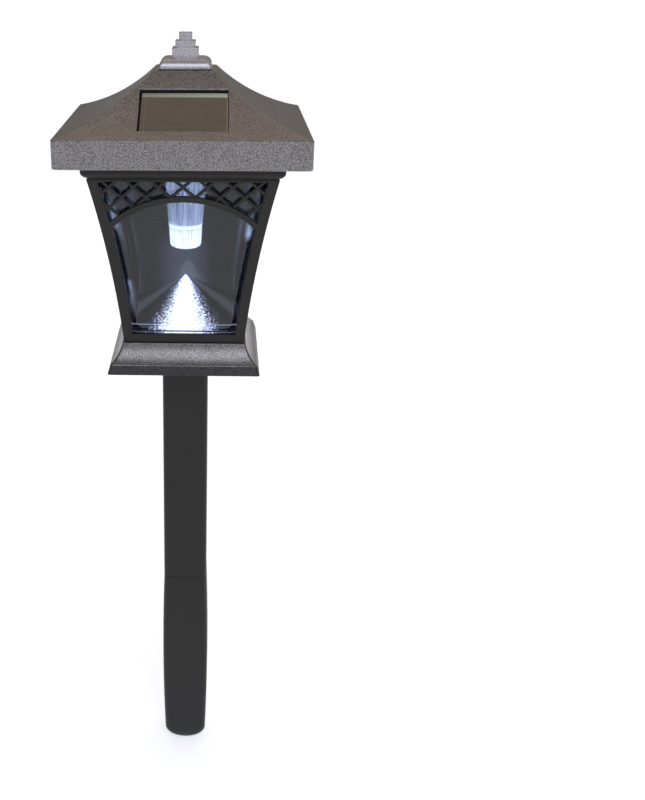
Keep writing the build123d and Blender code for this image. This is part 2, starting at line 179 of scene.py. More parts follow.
def arcBetween(start, end, sag, steps):
    # points of an arc from start to end whose middle lies sag to the right of the chord
    x0, z0 = start
    x1, z1 = end
    chord = math.hypot(x1 - x0, z1 - z0)
    radius = chord ** 2 / (8 * abs(sag)) + abs(sag) / 2
    side = 1 if sag > 0 else -1
    nx, nz = (z1 - z0) / chord * side, -(x1 - x0) / chord * side
    reach = radius - abs(sag)
    cx, cz = (x0 + x1) / 2 - nx * reach, (z0 + z1) / 2 - nz * reach
    a0 = math.atan2(z0 - cz, x0 - cx)
    turn = math.atan2(z1 - cz, x1 - cx) - a0
    turn = (turn + math.pi) % (2 * math.pi) - math.pi
    return [(cx + radius * math.cos(a0 + turn * k / steps), cz + radius * math.sin(a0 + turn * k / steps))
            for k in range(1, steps)]


def roundedSection(points, closed=False, steps=4):
    # points are (half, z, corner, fillet); each fillet becomes a short run of points
    rounded = []
    count = len(points)
    for i, (half, z, corner, fillet) in enumerate(points):
        if fillet <= 0 or (not closed and i in (0, count - 1)):
            rounded.append((half, z, corner))
            continue
        here = Vector((half, z))
        before = Vector(points[i - 1][:2]) - here
        after = Vector(points[(i + 1) % count][:2]) - here
        bend = before.angle(after)
        back = min(fillet / math.tan(bend / 2), before.length * 0.48, after.length * 0.48)
        start, end = here + before.normalized() * back, here + after.normalized() * back
        for k in range(steps + 1):
            t = k / steps
            spot = start * (1 - t) ** 2 + here * 2 * t * (1 - t) + end * t ** 2
            rounded.append((spot.x, spot.y, corner))
    return rounded


def squareRing(half, corner, steps, flutes=0, depth=0.0):
    # a square of that half width with rounded corners, anticlockwise
    corner = min(corner, half)
    reach = half - corner
    ring = []
    for quarter, (sx, sy) in enumerate(((1, 1), (-1, 1), (-1, -1), (1, -1))):
        for k in range(steps + 1):
            if reach < 1e-9 and k == steps:
                continue  # a full circle has no flats, so its quarters share a point
            angle = math.radians(90) * (quarter + k / steps)
            radius = corner + depth * (math.cos(flutes * angle) - 1) / 2
            ring.append((sx * reach + radius * math.cos(angle), sy * reach + radius * math.sin(angle)))
    return ring


def squareLoft(name, section, closed=False, cornerSteps=5, lift=0.0, fluted=None):
    # a solid through square rings (half, z, corner) in mm, low end first or round a wall
    made = bmesh.new()
    rings = []
    for half, z, corner in section:
        flutes, depth = fluted(z) if fluted else (0, 0.0)
        ring = squareRing(half, corner, cornerSteps, flutes, depth)
        rings.append([made.verts.new((x * mm, y * mm, z * mm + lift)) for x, y in ring])
    pairs = list(zip(rings, rings[1:] + rings[:1])) if closed else list(zip(rings, rings[1:]))
    for low, high in pairs:
        for k in range(len(low)):
            n = (k + 1) % len(low)
            made.faces.new((low[k], low[n], high[n], high[k]))
    if not closed:
        made.faces.new(rings[0][::-1])
        made.faces.new(rings[-1])
    bmesh.ops.remove_doubles(made, verts=made.verts, dist=1e-7)
    bmesh.ops.dissolve_degenerate(made, edges=made.edges, dist=1e-7)
    bmesh.ops.recalc_face_normals(made, faces=made.faces)
    mesh = bpy.data.meshes.new(name)
    made.to_mesh(mesh)
    made.free()
    return newPiece(name, mesh)


# Finishes

plasticGrain = {
    "sparkMm": 0.48,     # spark-eroded mould grain, drawn coarser than its real 0.1 mm so that it shows
    "mottleMm": 9.0,     # soft flow marks in the moulding
}


def mouldedAbs(name, base, light, fixed, speckle, bump, mottle=0.12):
    # moulded ABS with a spark-eroded skin: satin, fine-grained, slightly uneven in tone
    material, tree, shader = newMaterial(name, fixed)
    place = ownPlace(tree)
    spark = addNode(tree, "ShaderNodeTexNoise", {}, {
        "Vector": place, "Scale": 1 / (plasticGrain["sparkMm"] * mm), "Detail": 3.0, "Roughness": 0.6})
    flow = noise(tree, place, plasticGrain["mottleMm"], 2.0)
    flake = ramp(tree, spark.outputs["Fac"], 0.5 - speckle, 0.5 + speckle)
    tone = ramp(tree, flow, 0.3, 0.7, -mottle, mottle)
    share = addNode(tree, "ShaderNodeMath", {"operation": "ADD", "use_clamp": True}, {
        0: flake, 1: tone})
    colour = mixColour(tree, share.outputs[0], linear(base), linear(light))
    rough = ramp(tree, spark.outputs["Fac"], 0.3, 0.7, fixed["Roughness"] - 0.07, fixed["Roughness"] + 0.07)
    relief = addNode(tree, "ShaderNodeBump", {}, {
        "Strength": bump, "Distance": 0.12 * mm, "Height": spark.outputs["Fac"]})
    tree.links.new(colour, shader.inputs["Base Color"])
    tree.links.new(rough, shader.inputs["Roughness"])
    tree.links.new(relief.outputs["Normal"], shader.inputs["Normal"])
    return material


# pewter-pigmented ABS: metal flake gives a grey that is cool facing the light and warm facing the sky
pewterAbs = mouldedAbs("mouldedPewterAbs", "545251", "9F9EA1", {
    "Metallic": 0.88, "Roughness": 0.35}, 0.11, 0.35, 0.06)
# the same plastic in a darker, rougher copy round the foot of the base: the darker tone is painted shade
paintedShadeBandAbs = mouldedAbs("mouldedPewterAbsPaintedShade", "2B2A2A", "565557", {
    "Metallic": 0.88, "Roughness": 0.45}, 0.14, 0.35, 0.06)
# a lighter copy of the same pewter ABS for the finial: the lighter tone is painted light
paintedLightFinialAbs = mouldedAbs("mouldedPewterAbsPaintedLight", "908F96", "D0CFD5", {
    "Metallic": 0.88, "Roughness": 0.36}, 0.12, 0.3, 0.06)
# charcoal ABS: nearly black, satin, with only the sheen of its skin
charcoalAbs = mouldedAbs("mouldedCharcoalAbs", "0E0E0E", "19191A", {
    "Metallic": 0.0, "Roughness": 0.5, "Specular IOR Level": 0.38}, 0.14, 0.3)
blackAbs = mouldedAbs("mouldedBlackAbs", "0C0C0D", "161617", {"Metallic": 0.0, "Roughness": 0.46}, 0.2, 0.25)
knobAbs = mouldedAbs("mouldedGreyKnobAbs", "3A3A3C", "4A4A4C", {"Metallic": 0.0, "Roughness": 0.4}, 0.2, 0.2)


def smokedAcrylicFinish():
    # injection-moulded smoked acrylic: dark blue-grey, polished, faint drag lines from the mould
    material, tree, shader = newMaterial("mouldedSmokedAcrylic", {
        "Base Color": linear("53565F"), "Roughness": 0.04, "IOR": 1.49, "Transmission Weight": 1.0})
    place = ownPlace(tree)
    drag = addNode(tree, "ShaderNodeMapping", {}, {"Vector": place, "Scale": (220.0, 220.0, 9.0)})
    lines = addNode(tree, "ShaderNodeTexNoise", {}, {"Vector": drag.outputs[0], "Scale": 1.0, "Detail": 2.0})
    relief = addNode(tree, "ShaderNodeBump", {}, {
        "Strength": 0.12, "Distance": 0.1 * mm, "Height": lines.outputs["Fac"]})
    haze = ramp(tree, lines.outputs["Fac"], 0.35, 0.7, 0.02, 0.09)
    tree.links.new(haze, shader.inputs["Roughness"])
    tree.links.new(relief.outputs["Normal"], shader.inputs["Normal"])
    # painted glow as emission: streaks up the corners, highlight lines at the foot and a haze round the lamp
    paintedCornerGlow(tree, shader, place, lines.outputs["Fac"])
    return material


# settings of the painted glow on the smoked lens box
lensPaintedGlow = {
    "tone": "9FB0DA", "strength": 0.8, "inner": 0.80, "core": 0.875, "outer": 0.95,
    "low": 30.0, "full": 52.0, "highFull": 80.0, "high": 104.0, "patchMm": 22.0,
    "steps": ((25.4, 0.4), (21.0, 0.16)),   # height and strength of the painted highlight lines at the foot
    "stepHalf": 0.3,
    # painted haze of light round the lamp: fades in from low to lowFull and out from highFull to high
    "halo": 0.07, "haloHalf": 17.0, "haloCore": 2.0,
    "haloLow": 38.0, "haloLowFull": 56.0, "haloHighFull": 66.0, "haloHigh": 84.0,
}


def paintedCornerGlow(tree, shader, place, lines):
    # painted glow: lamp light painted as emission up the rounded corners of the box, in broken upright streaks
    axes = split(tree, place)
    sides = [calc(tree, "ABSOLUTE", axes[k]) for k in "XY"]
    near = calc(tree, "MINIMUM", sides[0], sides[1])
    far = calc(tree, "MAXIMUM", sides[0], sides[1])
    ratio = calc(tree, "DIVIDE", near, far)
    ramps = [(ratio, lensPaintedGlow["inner"], lensPaintedGlow["core"]), (ratio, lensPaintedGlow["outer"], lensPaintedGlow["core"])]
    ramps += [(axes["Z"], baseLine + low * mm, baseLine + high * mm) for low, high in (
        (lensPaintedGlow["low"], lensPaintedGlow["full"]), (lensPaintedGlow["high"], lensPaintedGlow["highFull"]))]
    patch = noise(tree, place, lensPaintedGlow["patchMm"], 1.0)
    ramps += [(patch, 0.4, 0.62), (lines, 0.34, 0.6)]
    strength = None
    for value, low, high in ramps:
        part = ramp(tree, value, low, high, smooth=True)
        strength = part if strength is None else calc(tree, "MULTIPLY", strength, part)
    power = calc(tree, "MULTIPLY", strength, lensPaintedGlow["strength"])
    total = power
    # painted highlight lines at the foot of the box
    for height, share in lensPaintedGlow["steps"]:
        line = calc(tree, "COMPARE", axes["Z"], baseLine + height * mm, lensPaintedGlow["stepHalf"] * mm)
        lit = calc(tree, "MULTIPLY", line, share)
        total = calc(tree, "ADD", total, lit)
    # painted haze of light round the lamp on the box walls
    haze = None
    for value, low, high in ((near, lensPaintedGlow["haloHalf"] * mm, lensPaintedGlow["haloCore"] * mm),
                             (axes["Z"], baseLine + lensPaintedGlow["haloLow"] * mm,
                              baseLine + lensPaintedGlow["haloLowFull"] * mm),
                             (axes["Z"], baseLine + lensPaintedGlow["haloHigh"] * mm,
                              baseLine + lensPaintedGlow["haloHighFull"] * mm)):
        part = ramp(tree, value, low, high, 0.0, lensPaintedGlow["halo"] if haze is None else 1.0, smooth=True)
        haze = part if haze is None else calc(tree, "MULTIPLY", haze, part)
    total = calc(tree, "ADD", total, haze)
    shader.inputs["Emission Color"].default_value = linear(lensPaintedGlow["tone"])
    tree.links.new(total, shader.inputs["Emission Strength"])


lampGlow = {
    "upper": "D8E6F6",   # light scattered in the fluted cone
    "lower": "F4F8FF",   # the solid tip, lit through
    "upperStrength": 1.75,
    "lowerStrength": 10.0,
    "shoulder": 72.5,    # mm above the base, where the cone ends and the tip begins
    "ring": 0.9,         # half height of the bright ring there
}


def clearAcrylicFinish():
    # polished clear acrylic, edge-lit by the LED in its bore: blue-white streaks over a burning tip
    material, tree, shader = newMaterial("polishedClearAcrylic", {
        "Base Color": linear("DCE6F5"), "Roughness": 0.08, "IOR": 1.49, "Transmission Weight": 0.35})
    place = ownPlace(tree)
    axes = split(tree, place)
    turn = calc(tree, "ARCTAN2", axes["Y"], axes["X"])
    wrap = addNode(tree, "ShaderNodeCombineXYZ", {}, {0: turn, 1: axes["Z"]})
    stretched = addNode(tree, "ShaderNodeMapping", {}, {"Vector": wrap.outputs[0], "Scale": (9.0, 30.0, 1.0)})
    streak = addNode(tree, "ShaderNodeTexNoise", {}, {
        "Vector": stretched.outputs[0], "Scale": 1.0, "Detail": 3.0})
    streakTone = ramp(tree, streak.outputs["Fac"], 0.36, 0.66, 0.3, 2.0)
    height = ramp(tree, axes["Z"], baseLine + (lampGlow["shoulder"] + 2.5) * mm,
                  baseLine + (lampGlow["shoulder"] - 3.5) * mm, smooth=True)
    colour = mixColour(tree, height, linear(lampGlow["upper"]), linear(lampGlow["lower"]))
    upper = calc(tree, "MULTIPLY", streakTone, lampGlow["upperStrength"])
    lower = ramp(tree, streakTone, 0.3, 1.4, lampGlow["lowerStrength"] * 0.3, lampGlow["lowerStrength"])
    body = addNode(tree, "ShaderNodeMix", {"data_type": "FLOAT"}, {
        0: height, 2: upper, 3: lower})
    ring = calc(tree, "COMPARE", axes["Z"], baseLine + (lampGlow["shoulder"] + 0.5) * mm,
                lampGlow["ring"] * mm)
    strength = addNode(tree, "ShaderNodeMix", {"data_type": "FLOAT"}, {
        0: ring, 2: body.outputs[0], 3: lampGlow["lowerStrength"]})
    tree.links.new(colour, shader.inputs["Emission Color"])
    tree.links.new(strength.outputs[0], shader.inputs["Emission Strength"])
    return material


reflectorPaintedGlow = {
    "halfWidth": 10.6,   # mm, how far the painted pool of light spreads at the pyramid's rim
    "topHalf": 1.2,      # and at its apex
    "strength": 16.0,
    "lit": "EEF3FF",
    "edge": "2F52A8",
    "sideShare": 0.03,   # share of the painted light left on the side faces; most is painted on the front and back
}


def reflectorFinish(low, high):
    # vacuum-metallised stippled polystyrene, with a painted reflection of the lamp: a broken bell of light,
    # dark beyond it
    material, tree, shader = newMaterial("metallisedPolystyrene", {
        "Base Color": linear("7F8797"), "Metallic": 1.0, "Roughness": 0.3})
    place = ownPlace(tree)
    axes = split(tree, place)
    sides = [calc(tree, "ABSOLUTE", axes[k]) for k in "XY"]
    across = calc(tree, "MINIMUM", sides[0], sides[1])
    # the painted pool of light narrows from the rim to the apex and is broken up by the stipple noise
    reach = ramp(tree, axes["Z"], high, low, reflectorPaintedGlow["topHalf"] * mm,
                 reflectorPaintedGlow["halfWidth"] * mm)
    speck = noise(tree, place, 0.9, 2.0)
    share = calc(tree, "DIVIDE", across, reach)
    spread = ramp(tree, speck, 0.25, 0.75, -0.75, 0.75)
    rough = calc(tree, "ADD", share, spread)
    lit = ramp(tree, rough, 2.3, 0.7, smooth=True)
    power = calc(tree, "POWER", lit, 2.6)
    colour = mixColour(tree, lit, linear(reflectorPaintedGlow["edge"]), linear(reflectorPaintedGlow["lit"]))
    # the painted light is kept to the front and back faces
    faced = calc(tree, "GREATER_THAN", sides[1], sides[0])
    full = reflectorPaintedGlow["strength"]
    share = ramp(tree, faced, 0.0, 1.0, full * reflectorPaintedGlow["sideShare"], full)
    strength = calc(tree, "MULTIPLY", power, share)
    tree.links.new(colour, shader.inputs["Emission Color"])
    tree.links.new(strength, shader.inputs["Emission Strength"])
    return material


def steelFinish(name, tone, roughness):
    # zinc-plated steel: bright grey with a fine drawn grain
    material, tree, shader = newMaterial(name, {
        "Base Color": linear(tone), "Metallic": 1.0, "Roughness": roughness})
    place = ownPlace(tree)
    grain = noise(tree, place, 0.4, 3.0)
    tone = ramp(tree, grain, 0.0, 1.0, roughness - 0.12, roughness + 0.14)
    tree.links.new(tone, shader.inputs["Roughness"])
    return material


zincSteel = steelFinish("zincPlatedSteel", "A9ABAD", 0.36)
springSteel = steelFinish("nickelPlatedSpringSteel", "C6C4BC", 0.26)


def plainFinish(name, dark, light, sizeMm, fixed):
    # a moulded or coated part inside the head, with a soft unevenness in its colour
    material, tree, shader = newMaterial(name, fixed)
    place = ownPlace(tree)
    cloud = noise(tree, place, sizeMm, 3.0)
    colour = mixColour(tree, cloud, linear(dark), linear(light))
    tree.links.new(colour, shader.inputs["Base Color"])
    return material


innerFinishes = {
    "panel_seal": plainFinish("closedCellFoam", "1E1E1E", "2E2E2E", 0.8, {"Roughness": 0.9}),
    "aa_battery": plainFinish("printedFilmSleeve", "2F6B3A", "3D7F49", 6.0, {"Roughness": 0.3}),
    "circuit_board": plainFinish("solderMaskLaminate", "1C4A2E", "23583A", 2.0, {"Roughness": 0.45}),
    "controller_chip": plainFinish("transferMouldedEpoxy", "141414", "1E1E1E", 0.6, {"Roughness": 0.6}),
    "switch_body": plainFinish("mouldedPhenolic", "141414", "202020", 0.6, {"Roughness": 0.5}),
    "boost_inductor": plainFinish("sinteredFerrite", "2A2A2C", "3A3A3C", 0.5, {"Roughness": 0.7}),
    "led": plainFinish("castClearEpoxy", "E6EBF5", "F5F8FF", 2.0, {
        "Roughness": 0.1, "Transmission Weight": 0.6}),
    "panel_leads": plainFinish("extrudedPvc", "9A1D1D", "B32626", 3.0, {"Roughness": 0.45}),
    "battery_leads": plainFinish("extrudedRedPvc", "8E1A1A", "A82424", 3.0, {"Roughness": 0.45}),
    "switch_leads": plainFinish("extrudedBlackPvc", "171717", "232323", 3.0, {"Roughness": 0.45}),
    "battery_spring": springSteel,
    "battery_contact": springSteel,
    "base_screws": zincSteel,
    "tray_screws": zincSteel,
    "board_screws": zincSteel,
    "finial_screw": zincSteel,
}
for node, material in innerFinishes.items():
    frame["nodes"][node].data.materials.clear()
    frame["nodes"][node].data.materials.append(material)
# near-black, dull colour on the walls of the panel's pocket: painted shade that makes the gap round the panel
# dark
pocketPaintedShade = plainFinish("pocketWallsPaintedShade", "080808", "101010", 1.5, {"Roughness": 0.7})
print("finishes made")


# Roof

roof = {
    "skirt": 14.1, "topHalf": 16.0, "sag": 3.5, "wall": 2.0, "hip": 1.7, "corner": 2.6, "slopeSteps": 22,
    "pocketHalf": 22.0, "pocketLip": 0.1, "pocketDepth": 32.3, "pocketFloor": 2.8, "rimBevel": 0.45,
}


def slopeSection(half, low, top, topHalf, corner, hip, eaveFillet, topFillet):
    shoulder = low + roof["skirt"]
    slope = arcBetween((half, shoulder), (topHalf, top), -roof["sag"], roof["slopeSteps"])
    points = [(half, low, corner, eaveFillet), (half, shoulder, corner, eaveFillet)]
    for k, (x, z) in enumerate(slope):
        points.append((x, z, corner + (hip - corner) * min(1, k / 4), 0))
    points.append((topHalf, top, hip, topFillet))
    points.append((topHalf - 3, top, hip, 0))
    return points


def panelPlace():
    # the panel's own frame: x across, y up the slope from its lower edge, z out of the glass
    low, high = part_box("solar_panel")
    depth, thick = 31.6 * mm, 2.0 * mm
    spanY, spanZ = high.y - low.y, high.z - low.z
    whole = depth ** 2 - thick ** 2
    cosine = (depth * spanY - thick * spanZ) / whole
    sine = (depth * spanZ - thick * spanY) / whole
    tilt = math.atan2(sine, cosine)
    return Matrix.Translation((0, low.y, high.z - depth * math.sin(tilt))) @ Matrix.Rotation(tilt, 4, "X")


def makeRoof():
    low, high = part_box("roof_shell")
    half, bottom, top = high.x / mm, low.z / mm, high.z / mm
    wall = roof["wall"]
    outside = slopeSection(half, bottom, top, roof["topHalf"], roof["corner"], roof["hip"], 0.7, 0.6)
    inside = slopeSection(half - wall, bottom, top - wall, roof["topHalf"], 0.8, 0.6, 0, 0)
    solid = squareLoft("roofSolid", roundedSection(outside))
    shell = squareLoft("roofShell", roundedSection(inside[::-1] + outside))
    place = panelPlace()
    x, lip, deep, floor = roof["pocketHalf"], roof["pocketLip"], roof["pocketDepth"], roof["pocketFloor"]
    skin = 1.6
    walls = boxMesh("pocketWalls", [v * mm for v in (-x - skin, -lip - skin, -floor - skin)],
                    [v * mm for v in (x + skin, deep + skin, 12)], place)
    boolean(walls, solid, "INTERSECT")
    boolean(shell, walls, "UNION")
    pocket = boxMesh("pocket", [v * mm for v in (-x, -lip, -floor)], [v * mm for v in (x, deep, 14)], place)
    # the pocket's walls take the near-black painted shade
    for mesh in (shell.data, pocket.data):
        mesh.materials.clear()
        mesh.materials.append(pewterAbs)
        mesh.materials.append(pocketPaintedShade)
    pocket.data.polygons.foreach_set("material_index", [1] * len(pocket.data.polygons))
    boolean(shell, pocket, "DIFFERENCE")
    rimBevel(shell)
    shell.name = "roofMoulding"
    smoothOff(shell)
    inside = [face.material_index for face in shell.data.polygons]
    mount(shell, pewterAbs, "roof_abs", "roof_shell")
    shell.data.materials.append(pocketPaintedShade)
    shell.data.polygons.foreach_set("material_index", inside)
    return shell


def rimBevel(shell):
    # softens the edge where the pocket breaks the slope
    made = bmesh.new()
    made.from_mesh(shell.data)
    layers = made.edges.layers.float
    weights = layers.get("bevel_weight_edge") or layers.new("bevel_weight_edge")
    for edge in made.edges:
        kinds = {face.material_index for face in edge.link_faces}
        outward = [face for face in edge.link_faces if face.material_index == 0]
        if len(kinds) == 2 and outward and outward[0].normal.z > 0.3:
            edge[weights] = 1.0
    made.to_mesh(shell.data)
    made.free()
    bevel = shell.modifiers.new("rim", "BEVEL")
    bevel.limit_method, bevel.width, bevel.segments = "WEIGHT", roof["rimBevel"] * mm, 3
    bevel.use_clamp_overlap, bevel.material = False, 0
    settle(shell)


makeRoof()
print("roof made")


# Solar panel: amorphous cells on a glass plate, in a thin clear resin

solar = {
    "edge": 0.25, "borderMm": 2.1, "lineMm": 0.26, "stripMm": 3.8, "scribes": (15.8, 3.0),
}


def panelFinish(width, depth):
    # amorphous silicon behind glass: olive-brown film, silver scribe lines, a lighter strip along its top,
    # greyer to the left and greener to the right
    material, tree, shader = newMaterial("amorphousSiliconGlass", {
        "Roughness": 0.16, "IOR": 1.5, "Coat Weight": 0.6, "Coat Roughness": 0.05})
    plan = addNode(tree, "ShaderNodeUVMap", {"uv_map": "plan"}).outputs["UV"]
    axes = split(tree, plan)
    cloud = addNode(tree, "ShaderNodeTexNoise", {}, {"Vector": plan, "Scale": 0.12, "Detail": 2.0})
    film = mixColour(tree, cloud.outputs["Fac"], linear("3B3629"), linear("4E4736"))
    colour = film
    places = [(axes["Y"], spot, solar["lineMm"], "5F5846") for spot in solar["scribes"]]
    places.append((axes["X"], solar["borderMm"], solar["lineMm"], "615B4B"))
    places.append((axes["X"], width - 0.45, 0.35, "8B8877"))
    for axis, spot, thick, tone in places:
        near = calc(tree, "COMPARE", axis, spot, thick / 2)
        blend = mixColour(tree, near, colour, linear(tone))
        colour = blend
    above = calc(tree, "GREATER_THAN", axes["Y"], depth - solar["stripMm"])
    sweep = ramp(tree, axes["X"], 0.0, width)
    lighterTopStrip = mixColour(tree, sweep, linear("8F8E8A"), linear("B9C7B0"))
    final = mixColour(tree, above, colour, lighterTopStrip)
    tree.links.new(final, shader.inputs["Base Color"])
    return material


def makePanel():
    low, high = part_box("solar_panel")
    place = panelPlace()
    depth = 31.6 * mm
    plate = boxMesh("solarCellPlate", (low.x, 0, -2.0 * mm), (high.x, depth, 0))
    bevel = plate.modifiers.new("edge", "BEVEL")
    bevel.width, bevel.segments = solar["edge"] * mm, 3
    settle(plate)
    plan = plate.data.uv_layers.new(name="plan")
    for loop in plate.data.loops:
        spot = plate.data.vertices[loop.vertex_index].co
        plan.data[loop.index].uv = ((spot.x - low.x) / mm, spot.y / mm)
    plate.data.transform(place)
    finish = panelFinish((high.x - low.x) / mm, depth / mm)
    return mount(smoothOff(plate), finish, "solar_glass", "solar_panel")


makePanel()
print("solar panel made")


# Finial: a square cushion under three stepped blocks

finial = {
    "foot": 13.6, "bend": 4.5, "rise": 0.8, "corner": 1.3, "crownLift": 0.6, "seam": 0.35,
    "blocks": ((6.8, 165.2), (5.2, 168.6), (3.4, 172.5)),   # half width and top, mm above the base
    "blockCorner": 1.0, "blockEdge": 0.35,
}


def makeFinial():
    low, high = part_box("finial")
    bottom = low.z / mm
    lift = baseLine / mm
    foot, bend, rise, corner = (finial[k] for k in ("foot", "bend", "rise", "corner"))
    points = [(foot - 2 * finial["seam"], bottom, corner, 0), (foot - finial["seam"], bottom + 0.1, corner, 0),
              (foot, bottom + 2 * finial["seam"], corner, 0.3), (foot, bottom + rise, corner, 0)]
    steps = 8
    for k in range(1, steps + 1):
        angle = math.radians(90) * k / steps
        points.append((foot - bend + bend * math.cos(angle), bottom + rise + bend * math.sin(angle), corner, 0))
    points.append((finial["blocks"][0][0], bottom + rise + bend + finial["crownLift"] / 2, 1.0, 0.25))
    edge = finial["blockEdge"]
    for half, top in finial["blocks"]:
        if half != finial["blocks"][0][0]:
            points.append((half, points[-1][1], finial["blockCorner"], 0.25))
        points.append((half, top + lift, finial["blockCorner"], edge))
    points.append((finial["blocks"][-1][0] - 1.2, finial["blocks"][-1][1] + lift, 0.6, 0))
    piece = squareLoft("finialMoulding", roundedSection(points))
    # the finial takes the lighter copy of the pewter ABS, a painted light
    return mount(smoothOff(piece), paintedLightFinialAbs, "roof_abs", "finial")


makeFinial()
print("finial made")


# Lantern: concave faces, shared by the window panels and the lens box

lantern = {
    "low": 15.75, "high": 106.6, "lowHalf": 32.2, "highHalf": 48.0, "sag": 1.65,
    "panelWall": 2.4, "lensGap": 0.3, "lensWall": 1.6,
}
lanternRun = lantern["highHalf"] - lantern["lowHalf"]
lanternRise = lantern["high"] - lantern["low"]
lanternChord = math.hypot(lanternRun, lanternRise)
faceRadius = lanternChord ** 2 / (8 * lantern["sag"]) + lantern["sag"] / 2
faceReach = lantern["sag"] - faceRadius
faceCentreX = (lantern["lowHalf"] + lantern["highHalf"]) / 2 - lanternRise / lanternChord * faceReach
faceCentreZ = (lantern["low"] + lantern["high"]) / 2 + lanternRun / lanternChord * faceReach


def faceHalf(z, inset=0.0):
    # half width of the lantern at a height, inset mm inside its outer face
    return faceCentreX - math.sqrt((faceRadius + inset) ** 2 - (z - faceCentreZ) ** 2)


window = {
    "stile": 5.3, "sill": 20.7, "head": 105.3, "archCentre": 40.9, "archRadius": 53.7, "archBand": 3.2,
    "pitch": 12.35, "row": 5.45, "crossing": 102.4, "strand": 1.85, "recess": 0.4,
    "edge": 0.35, "sideSteps": 16, "arcSteps": 28,
}


def stileEdge(z):
    return faceHalf(z) - window["stile"]


def springHeight(radius):
    # height at which an arch of that radius runs into the stile
    low, high = window["archCentre"], window["head"]
    for _ in range(40):
        middle = (low + high) / 2
        reach = radius ** 2 - (middle - window["archCentre"]) ** 2
        if reach > 0 and math.sqrt(reach) > stileEdge(middle):
            low = middle
        else:
            high = middle
    return low


def archPoints(radius):
    # left to right, over the top
    spring = springHeight(radius)
    start = math.atan2(spring - window["archCentre"], -stileEdge(spring))
    end = math.pi - start
    steps = window["arcSteps"]
    angles = [start + (end - start) * k / steps for k in range(steps + 1)]
    return [(radius * math.cos(a), window["archCentre"] + radius * math.sin(a)) for a in angles], spring


def sidePoints(low, high, edge):
    steps = window["sideSteps"]
    heights = [low + (high - low) * k / steps for k in range(steps + 1)]
    return [(edge(z), z) for z in heights]


def outlines():
    outside = sidePoints(lantern["low"], lantern["high"], faceHalf)
    outer = outside + [(-x, z) for x, z in outside[::-1]]
    under, spring = archPoints(window["archRadius"])
    side = sidePoints(window["sill"], spring, stileEdge)
    light = side + under[::-1][1:-1] + [(-x, z) for x, z in side[::-1]]
    over, high = archPoints(window["archRadius"] + window["archBand"])
    upper = sidePoints(high, window["head"], stileEdge)
    spandrel = [(-x, z) for x, z in upper[::-1]] + over[1:-1] + upper
    return outer, light, spandrel


def plateOf(name, loops, halfDepth, edge):
    # a flat plate with these outlines, its edges rounded, standing in the XZ plane
    shape = bpy.data.curves.new(name, "CURVE")
    shape.dimensions, shape.fill_mode = "2D", "BOTH"
    shape.extrude, shape.bevel_depth, shape.bevel_resolution = (halfDepth - edge) * mm, edge * mm, 2
    shape.offset = -edge * mm
    for loop in loops:
        spline = shape.splines.new("POLY")
        spline.points.add(len(loop) - 1)
        for point, (x, z) in zip(spline.points, loop):
            point.co = (x * mm, z * mm, 0, 1)
        spline.use_cyclic_u = True
    holder = newPiece(name, shape)
    graph = bpy.context.evaluated_depsgraph_get()
    mesh = bpy.data.meshes.new_from_object(holder.evaluated_get(graph))
    bpy.data.objects.remove(holder)
    made = bmesh.new()
    made.from_mesh(mesh)
    bmesh.ops.remove_doubles(made, verts=made.verts, dist=0.002 * mm)
    bmesh.ops.recalc_face_normals(made, faces=made.faces)
    for vert in made.verts:
        vert.co = Vector((vert.co.x, -vert.co.z, vert.co.y))
    made.to_mesh(mesh)
    made.free()
    return mesh


def bendToFace(mesh):
    # lays a flat plate, centred on y = 0, into the lantern's concave front face
    middle = lantern["panelWall"] / 2
    for vert in mesh.vertices:
        x, y, z = (c / mm for c in vert.co)
        inset = middle + y
        outer = faceHalf(z)
        share = max(0.0, min(1.0, (abs(x) - (outer - window["stile"])) / window["stile"]))
        x -= math.copysign(inset * share, x)
        vert.co = (x * mm, (inset - outer) * mm, z * mm + baseLine)


def toolTree(name, settings):
    # a geometry node group whose inputs are the geometry and those settings
    tree = bpy.data.node_groups.new(name, "GeometryNodeTree")
    tree.is_modifier = True
    tree.interface.new_socket("Geometry", in_out="INPUT", socket_type="NodeSocketGeometry")
    for label, kind in settings.items():
        tree.interface.new_socket(label, in_out="INPUT", socket_type="NodeSocket" + kind)
    tree.interface.new_socket("Geometry", in_out="OUTPUT", socket_type="NodeSocketGeometry")
    return tree, addNode(tree, "NodeGroupInput").outputs


